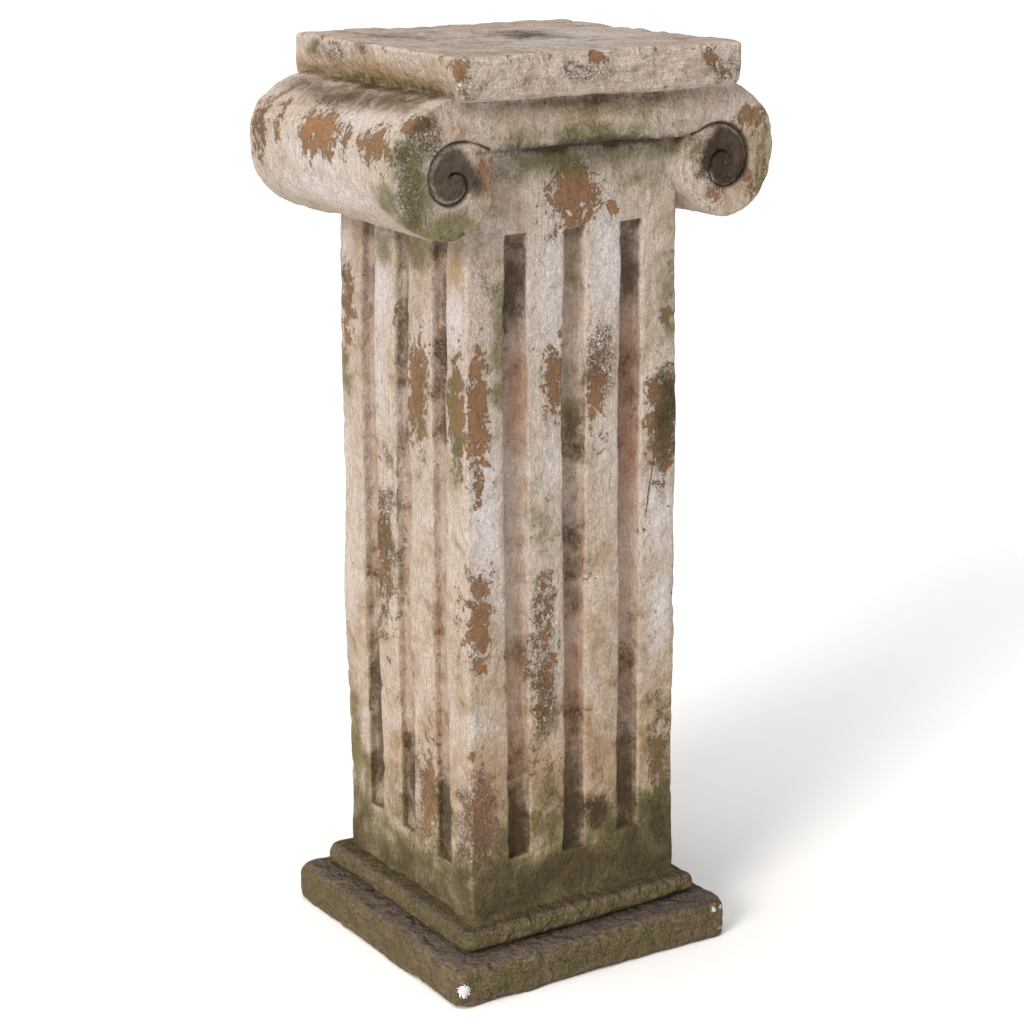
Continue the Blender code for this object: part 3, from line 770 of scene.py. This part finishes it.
def chalk_paint(name, brush, tones, crag=1.0):
    """Brushed chalk paint on a brown cast body, flaked, pitted and washed with moss and umber, with
    painted shade and highlights at creases, grooves, cracks and paint edges.

    Cast clay gives a dull, gritty tan ground. Chalk paint lies on it about half a millimetre
    thick with fine brush lines and a crust of small wrinkles, and it breaks off in ragged
    flakes with a pale rim. brush is the pattern's squeeze along each axis, which draws the
    brush lines out along the other. tones are the paint's four colours: two that drift into
    each other, one in streaks and one in blotches. crag multiplies the lumps of the relief.
    """
    material, tree = new_material(name)
    place = add(tree, "ShaderNodeTexCoord", out="Object")
    even = (1, 1, 1)
    # Pattern sizes are in cells to the metre: 1000 is a millimetre
    patterns = {
        "cloud": (14, 3, 0.55, 0.0, even), "blotch": (42, 4, 0.60, 0.4, even),
        "flake": (125, 4, 0.60, 0.9, (1, 1, 0.8)), "crust": (230, 4, 0.62, 1.6, (1, 1, 0.85)),
        "fleck": (430, 3, 0.68, 0.8, (1, 1, 0.8)), "grit": (950, 2, 0.60, 0.0, even),
        "stroke": (1, 3, 0.65, 0.0, brush), "line": (2.2, 2, 0.55, 0.3, brush),
        "hue": (23, 2, 0.50, 0.0, even), "ripple": (88, 1.5, 0.45, 0.6, even),
        "wrinkle": (250, 2.0, 0.48, 1.6, even), "pimple": (520, 0.5, 0.40, 0.3, even),
    }
    noise, swing = {}, {}
    for key, (scale, detail, rough, distortion, squeeze) in patterns.items():
        mapped = add(tree, "ShaderNodeMapping", {"Vector": place, "Scale": squeeze})
        noise[key] = add(tree, "ShaderNodeTexNoise",
                         {"Vector": mapped, "Scale": scale, "Detail": detail,
                          "Roughness": rough, "Distortion": distortion})
        swing[key] = add(tree, "ShaderNodeMath", {0: noise[key], 1: 0.5}, operation="SUBTRACT")
    mark = {key: add(tree, "ShaderNodeAttribute", attribute_name=key, out="Fac")
            for key in [*WEAR, "dust", "top", "groove"]}
    # Each mask is a share of a mark broken up by noise, then ramped between two levels
    flaking = (("flake", 1.8), ("blotch", 0.6), ("crust", 1.2), ("fleck", 0.6))
    washing = (("blotch", 1.3), ("crust", 0.9), ("stroke", 0.2))
    recipes = {
        "bare": ("bare", 1.0, flaking, 0.520, 0.535),
        "rim": ("bare", 1.0, flaking, 0.440, 0.510),
        "ledge": ("bare", 1.0, flaking, 0.485, 0.565),
        # A narrow band of bare ground just inside the paint's edge, darkened as painted shadow of the
        # paint's lip
        "paint_lip_shadow": ("bare", 1.0, flaking, 0.600, 0.535),
        "pits": ("speckled", 0.85, (("pimple", 4.6), ("grit", 0.8), ("blotch", 1.0)), 1.50, 1.72),
        "moss": ("moss", 1.0, (("blotch", 1.5), *washing[1:]), 0.06, 0.80),
        "grime_and_shade": ("grime_and_shade", 1.0, washing, 0.08, 0.90),
        "ochre": ("ochre", 1.0, (("blotch", 1.1), ("stroke", 0.3)), 0.08, 0.95),
        "rose": ("rose", 1.0, (("blotch", 0.8), ("stroke", 0.3), ("fleck", 0.8)), 0.05, 0.90),
        "pale": ("pale", 1.0, (("blotch", 0.8), ("stroke", 0.4)), 0.10, 0.90),
        "dust": ("dust", 1.0, (("blotch", 1.0), ("fleck", 0.8)), 0.30, 1.10),
        "chips": ("chips", 1.0, (("fleck", 0.9), ("grit", 0.4)), 0.50, 0.56),
        "top": ("top", 1.0, (("stroke", 2.6), ("blotch", 1.4)), 0.55, 1.60),
        "groove": ("groove", 1.0, (("fleck", 0.4),), 0.14, 0.66),
        "crackled": ("speckled", 1.0, (("blotch", 1.5),), 0.30, 0.75),
    }
    mask = {}
    for key, (source, share, breaks, low, high) in recipes.items():
        value = weighed_sum(tree, 0.0, [(mark[source], share)]
                            + [(swing[pattern], amount) for pattern, amount in breaks])
        mask[key] = add(tree, "ShaderNodeMapRange",
                        {"Value": value, "From Min": low, "From Max": high},
                        interpolation_type="SMOOTHSTEP")
    # Cracks wander along the middle level of the wrinkles, as curling paint splits, and beside them a
    # pale band is a painted highlight on the curled edge
    level = add(tree, "ShaderNodeMath", {0: swing["wrinkle"]}, operation="ABSOLUTE")
    for key, value, low, high in (("cracks", level, 0.058, 0.022),
                                  ("curl_highlights", noise["wrinkle"], 0.555, 0.600)):
        ramp = add(tree, "ShaderNodeMapRange", {"Value": value, "From Min": low, "From Max": high})
        mask[key] = weighed_sum(tree, 0.0, [(ramp, mask["crackled"])])
    # One long hairline crack leans down the last rib of the front
    x, y, z = add(tree, "ShaderNodeSeparateXYZ", {0: place}).node.outputs
    aside = weighed_sum(tree, x, [(z, -0.1385), (noise["crust"], 0.0030), (1.0, -0.0157)])
    aside = add(tree, "ShaderNodeMath", {0: aside}, operation="ABSOLUTE")
    mask["split"] = 1.0
    for value, low, high in ((aside, 0.0008, 0.0003), (z, 0.342, 0.350), (z, 0.413, 0.400),
                             (y, -0.080, -0.085)):
        part = add(tree, "ShaderNodeMapRange", {"Value": value, "From Min": low, "From Max": high})
        mask["split"] = weighed_sum(tree, 0.0, [(part, mask["split"])])
    # Colours, each laid over the ones before it by its mask
    ground = [("#84654a", "#9c724e", noise["hue"]), (None, "#6c533d", noise["fleck"]),
              # The last ground colour is the painted shadow that the paint's lip casts along the flake
              # edge
              (None, "#4a3626", mask["paint_lip_shadow"])]
    paint = [(tones[0], tones[1], noise["cloud"]), (None, tones[2], noise["stroke"]),
             (None, tones[3], noise["blotch"])]
    stacks = []
    for stack in (ground, paint):
        colour = None
        for below, above, amount in stack:
            strength = add(tree, "ShaderNodeMapRange",
                           {"Value": amount, "From Min": 0.40, "From Max": 0.72})
            colour = add(tree, "ShaderNodeMix",
                         {0: strength, 6: linear(below) if below else colour, 7: linear(above)},
                         out=2, data_type="RGBA")
        stacks.append(colour)
    # Some layers are painted light: the pale band beside the cracks, some of the pale chalk, the dark
    # wash in creases and under the band and slab, and the dark groove lines
    layers = [("pale", "#c6bebc", 0.85), ("ochre", "#9c7e56", 0.75), ("top", "#85786f", 0.64),
              ("pits", "#4a3b2c", 0.90), ("curl_highlights", "#d6ccc2", 0.60), ("cracks", "#43362a", 0.88),
              ("split", "#3c3027", 0.85), ("rim", "#d8cab9", 0.60), ("bare", None, 1.0),
              ("moss", "#615c36", 0.82), ("rose", "#8f6a56", 0.74), ("grime_and_shade", "#3a2d20", 0.84),
              ("groove", "#2a2119", 0.85), ("dust", "#645956", 0.50), ("chips", "#dcd7da", 1.0)]
    for key, tint, strength in layers:
        amount = weighed_sum(tree, 0.0, [(mask[key], strength)])
        colour = add(tree, "ShaderNodeMix",
                     {0: amount, 6: colour, 7: linear(tint) if tint else stacks[0]},
                     out=2, data_type="RGBA")
    # Fine noise darkens and lightens the whole finish, more as the relief gets rougher: partly random
    # tone, partly painted shade and light on the small relief, such as the brush lines
    contrast = 0.7 + 0.4 * crag
    depth = weighed_sum(tree, 1.0, [
        (swing[pattern], amount * contrast) for pattern, amount in
        (("crust", 0.6), ("fleck", 0.9), ("line", 0.7), ("grit", 1.0), ("blotch", 0.5))])
    colour = add(tree, "ShaderNodeVectorMath", {0: colour, "Scale": depth}, operation="SCALE")
    # Relief in millimetres: paint edge, pits, cracks, crust and brush lines
    rough = weighed_sum(tree, 1.3 * crag, [(mask["crackled"], 2.4 * crag)])
    relief = weighed_sum(tree, 0.0, [
        (mask["ledge"], -0.90), (mask["rim"], 0.30), (mask["pits"], -0.60), (mask["cracks"], -0.70),
        (mask["split"], -0.70), (noise["line"], 0.25), (noise["pimple"], 0.8 * crag),
        (noise["wrinkle"], rough), (noise["ripple"], 5.0 * crag)])
    bump = add(tree, "ShaderNodeBump", {"Height": relief, "Strength": 1.0, "Distance": 0.001})
    shader = add(tree, "ShaderNodeBsdfPrincipled",
                 {"Base Color": colour, "Roughness": 0.90, "Specular IOR Level": 0.22,
                  "IOR": 1.5, "Normal": bump})
    add(tree, "ShaderNodeOutputMaterial", {"Surface": shader})
    return material


def set_up(name, data, back=(0, 0, 1), place=(0, 0, 0), roll=0.0):
    """Object in the scene for a mesh, light or camera, whose own Z axis points along back."""
    item = bpy.data.objects.new(name, data)
    bpy.context.scene.collection.objects.link(item)
    back = np.array(back) / np.linalg.norm(back)
    right = np.cross((0, 0, 1), back)
    if np.any(right):
        right = right / np.linalg.norm(right)
        up = np.cross(back, right)
        turn = math.cos(roll) * right + math.sin(roll) * up
        tilt = math.cos(roll) * up - math.sin(roll) * right
        item.matrix_world = Matrix([*zip(turn, tilt, back, place), (0, 0, 0, 1)])
    return item


# Knocks lie about this far apart; the handwork's noise has cells of these sizes
KNOCK_SPACING = 0.018
HAND_CELLS = (0.090, 0.030, 0.010, 0.0045)


def dents(points, lines, seed):
    """Depth of small knocks along edges: bells at random places on each line, 1.5 to 6 mm wide."""
    chance = np.random.default_rng(seed)
    total = np.zeros(len(points))
    for start, end in lines:
        start, end = np.array(start), np.array(end)
        length = np.linalg.norm(end - start)
        count = max(1, int(length / KNOCK_SPACING * (0.6 + 0.8 * chance.random())))
        for share in chance.random(count):
            reach = 0.0015 + 0.0045 * chance.random() ** 2
            deep = reach * (0.08 + 0.22 * chance.random())
            middle = start + (end - start) * share + chance.normal(0, 0.0012, 3)
            away = np.sum((points - middle) ** 2, axis=1) / reach ** 2
            near = away < 6
            total[near] = np.maximum(total[near], deep * np.exp(-away[near] ** 1.4))
    return total


def square_edges(half, z, half_above=None, z_above=None):
    """Lines round a square at a height, and its four upright corners up to a second height."""
    corners = [(half, half), (-half, half), (-half, -half), (half, -half)]
    lines = [((*corners[side - 1], z), (*corners[side], z)) for side in range(4)]
    if z_above is not None:
        ratio = half_above / half
        lines += [((x, y, z), (x * ratio, y * ratio, z_above)) for x, y in corners]
    return lines


def make_piece(name, mesh_data, finish, handwork, seed, edges):
    """Closed mesh of a piece with its surface worked unevenly by hand, and its wear marks.

    Every point moves along its normal by smooth noise of four sizes, and in along it by the
    knocks on the piece's edges. handwork gives the noise's height in metres for each cell size.
    """
    points, faces, *carved = mesh_data
    mesh = bpy.data.meshes.new(name)
    mesh.from_pydata(points.tolist(), [], faces)
    mesh.update()
    normals = np.empty(len(points) * 3, np.float32)
    mesh.vertex_normals.foreach_get("vector", normals)
    normals = normals.reshape(-1, 3).astype(float)
    knocks = dents(points, edges, seed)
    rise = -knocks
    for size, height in zip(HAND_CELLS, handwork):
        rise += height * roughness_field(points, size, seed)
        seed += 1
    moved = points + normals * rise[:, None]
    low, high = (np.array(corner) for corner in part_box(NODE))
    moved = np.clip(moved, low, high)
    mesh.vertices.foreach_set("co", moved.ravel())
    marks = weathering(points, normals, knocks, carved[0] if carved else {})
    for key, values in marks.items():
        layer = mesh.attributes.new(key, "FLOAT", "POINT")
        layer.data.foreach_set("value", values.astype(np.float32))
    mesh.polygons.foreach_set("use_smooth", np.ones(len(mesh.polygons), bool))
    mesh.materials.append(finish)
    mesh.update()
    piece = set_up(name, mesh)
    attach(piece, BODY)
    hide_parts(NODE)
    return piece


def arris_edges():
    """Upright lines at both edges of every flute, and the shaft's own upright corners."""
    lines = square_edges(SHAFT_FOOT_HALF, 0.07, SHAFT_HEAD_HALF, 0.56)[4:]
    for centre in FLUTE_CENTRES:
        for place in (centre - FLUTE_HALF, centre + FLUTE_HALF):
            for x, y in ((place, -SHAFT_HEAD_HALF), (-SHAFT_HEAD_HALF, place),
                         (place, SHAFT_HEAD_HALF), (SHAFT_HEAD_HALF, place)):
                lines.append(((x, y, FLUTE_FOOT_Z), (x - 0.0035, y, FLUTE_HEAD_Z)))
    return lines


def rim_edges():
    """Short lines round the front and back rims of both scrolls."""
    lines = []
    for side in (-1, 1):
        turn, radius = disc_edge(side)
        spread = np.linspace(RIM_START, RIM_END, 16)
        picked = np.interp(spread, turn, radius)
        angle = np.radians(spread)
        x = side * (DISC_X + picked * np.sin(angle))
        z = DISC_Z + picked * np.cos(angle)
        for y in (-FASCIA_HALF, FASCIA_HALF):
            lines += [((x[step], y, z[step]), (x[step + 1], y, z[step + 1])) for step in range(15)]
    return lines


def stage_piece(name, points, faces, finish, shader, sockets):
    material, tree = new_material(finish)
    add(tree, "ShaderNodeOutputMaterial", {"Surface": add(tree, shader, sockets)})
    mesh = bpy.data.meshes.new(name)
    mesh.from_pydata(points, [], faces)
    mesh.materials.append(material)
    piece = set_up(name, mesh)
    return piece


def studio_floor():
    """Plain pale floor under the pedestal."""
    reach = 28.0
    points = [(-reach, -reach, 0), (reach, -reach, 0), (reach, reach, 0), (-reach, reach, 0)]
    stage_piece("floor", points, [(0, 1, 2, 3)], "pale_paper_floor", "ShaderNodeBsdfPrincipled",
                {"Base Color": linear("#fbfaf9"), "Roughness": 0.95})


def white_surround():
    """White dome that only the camera sees, so that the ground runs into a white background."""
    reach = 30.0
    turn = np.linspace(0, 2 * math.pi, 48, endpoint=False)
    climb = np.linspace(-0.25, math.pi / 2 - 0.02, 16)[:, None]
    points = reach * np.stack([np.cos(climb) * np.cos(turn), np.cos(climb) * np.sin(turn),
                               np.sin(climb) + 0 * turn], axis=-1).reshape(-1, 3)
    dome = stage_piece("white_surround", points.tolist(),
                       quad_strip(len(climb), len(turn), True).tolist(), "white_paper_surround",
                       "ShaderNodeEmission", {"Color": linear("#ffffff"), "Strength": 1.0})
    dome.visible_diffuse = False
    dome.visible_glossy = False
    dome.visible_transmission = False
    dome.visible_shadow = False


def studio_light(name, toward, spread, strength, colour):
    """Distant soft light that comes from a direction, as wide as spread degrees."""
    data = bpy.data.lights.new(name, "SUN")
    data.angle = math.radians(spread)
    data.energy = strength
    data.color = linear(colour)[:3]
    set_up(name, data, toward)


def photo_camera():
    """Camera at the photograph's place and angle, found by fitting the edges of the blocks."""
    azimuth, elevation, roll = (math.radians(angle) for angle in (-32.921, 15.519, 0.166))
    back = (math.sin(azimuth) * math.cos(elevation), -math.cos(azimuth) * math.cos(elevation),
            math.sin(elevation))
    data = bpy.data.cameras.new("photo_camera")
    data.lens = 89.80
    data.sensor_width = 36.0
    camera = set_up("photo_camera", data, back, (-1.03129, -1.59522, 0.86498), roll)
    bpy.context.scene.camera = camera


cream = ("#b7a89c", "#ab9b8c", "#c2b5aa", "#a08e7c")
earth = ("#6e5a46", "#574a35", "#7d6953", "#3c3226")
upright = (420, 420, 42)
crosswise = (42, 420, 420)
make_piece("foot", foot_surface(), chalk_paint("earth_stained_cast_stone", (60, 60, 420), earth, 1.7),
           (0.0010, 0.0009, 0.0006, 0.00040), 11,
           square_edges(PLINTH_HALF, 0.001, PLINTH_HALF, STEP_BASE_Z)
           + square_edges(PLINTH_HALF, STEP_BASE_Z) + square_edges(STEP_HALF, SHAFT_BASE_Z))
make_piece("fluted_shaft", shaft_surface(),
           chalk_paint("chalk_painted_cast_stone", upright, cream, 0.70),
           (0.0013, 0.0007, 0.00035, 0.00018), 23, arris_edges())
make_piece("scrolled_capital", capital_surface(),
           chalk_paint("moss_washed_chalk_paint", upright, cream, 0.80),
           (0.0012, 0.0010, 0.0006, 0.00036), 37, rim_edges())
make_piece("top_slab", slab_surface(),
           chalk_paint("weathered_slab_chalk_paint", crosswise, cream, 0.85),
           (0.0007, 0.0007, 0.0005, 0.00030), 51,
           square_edges(SLAB_HALF, SLAB_BASE_Z, SLAB_HALF, SLAB_TOP_Z)
           + square_edges(SLAB_HALF, SLAB_TOP_Z))

studio_floor()
white_surround()
photo_camera()
studio_light("key_light", (-0.80, -0.36, 0.42), 20, 2.45, "#fffaf4")
studio_light("top_light", (-0.25, -0.10, 0.95), 60, 1.90, "#ffffff")
studio_light("front_fill", (0.35, -0.80, 0.30), 50, 0.18, "#f0f3ff")
world = bpy.data.worlds.new("studio")
world.use_nodes = True
background = world.node_tree.nodes["Background"].inputs
background["Color"].default_value = linear("#ffffff")
background["Strength"].default_value = 0.31
bpy.context.scene.world = world
bpy.context.scene.view_settings.view_transform = "Standard"
bpy.context.scene.view_settings.look = "None"
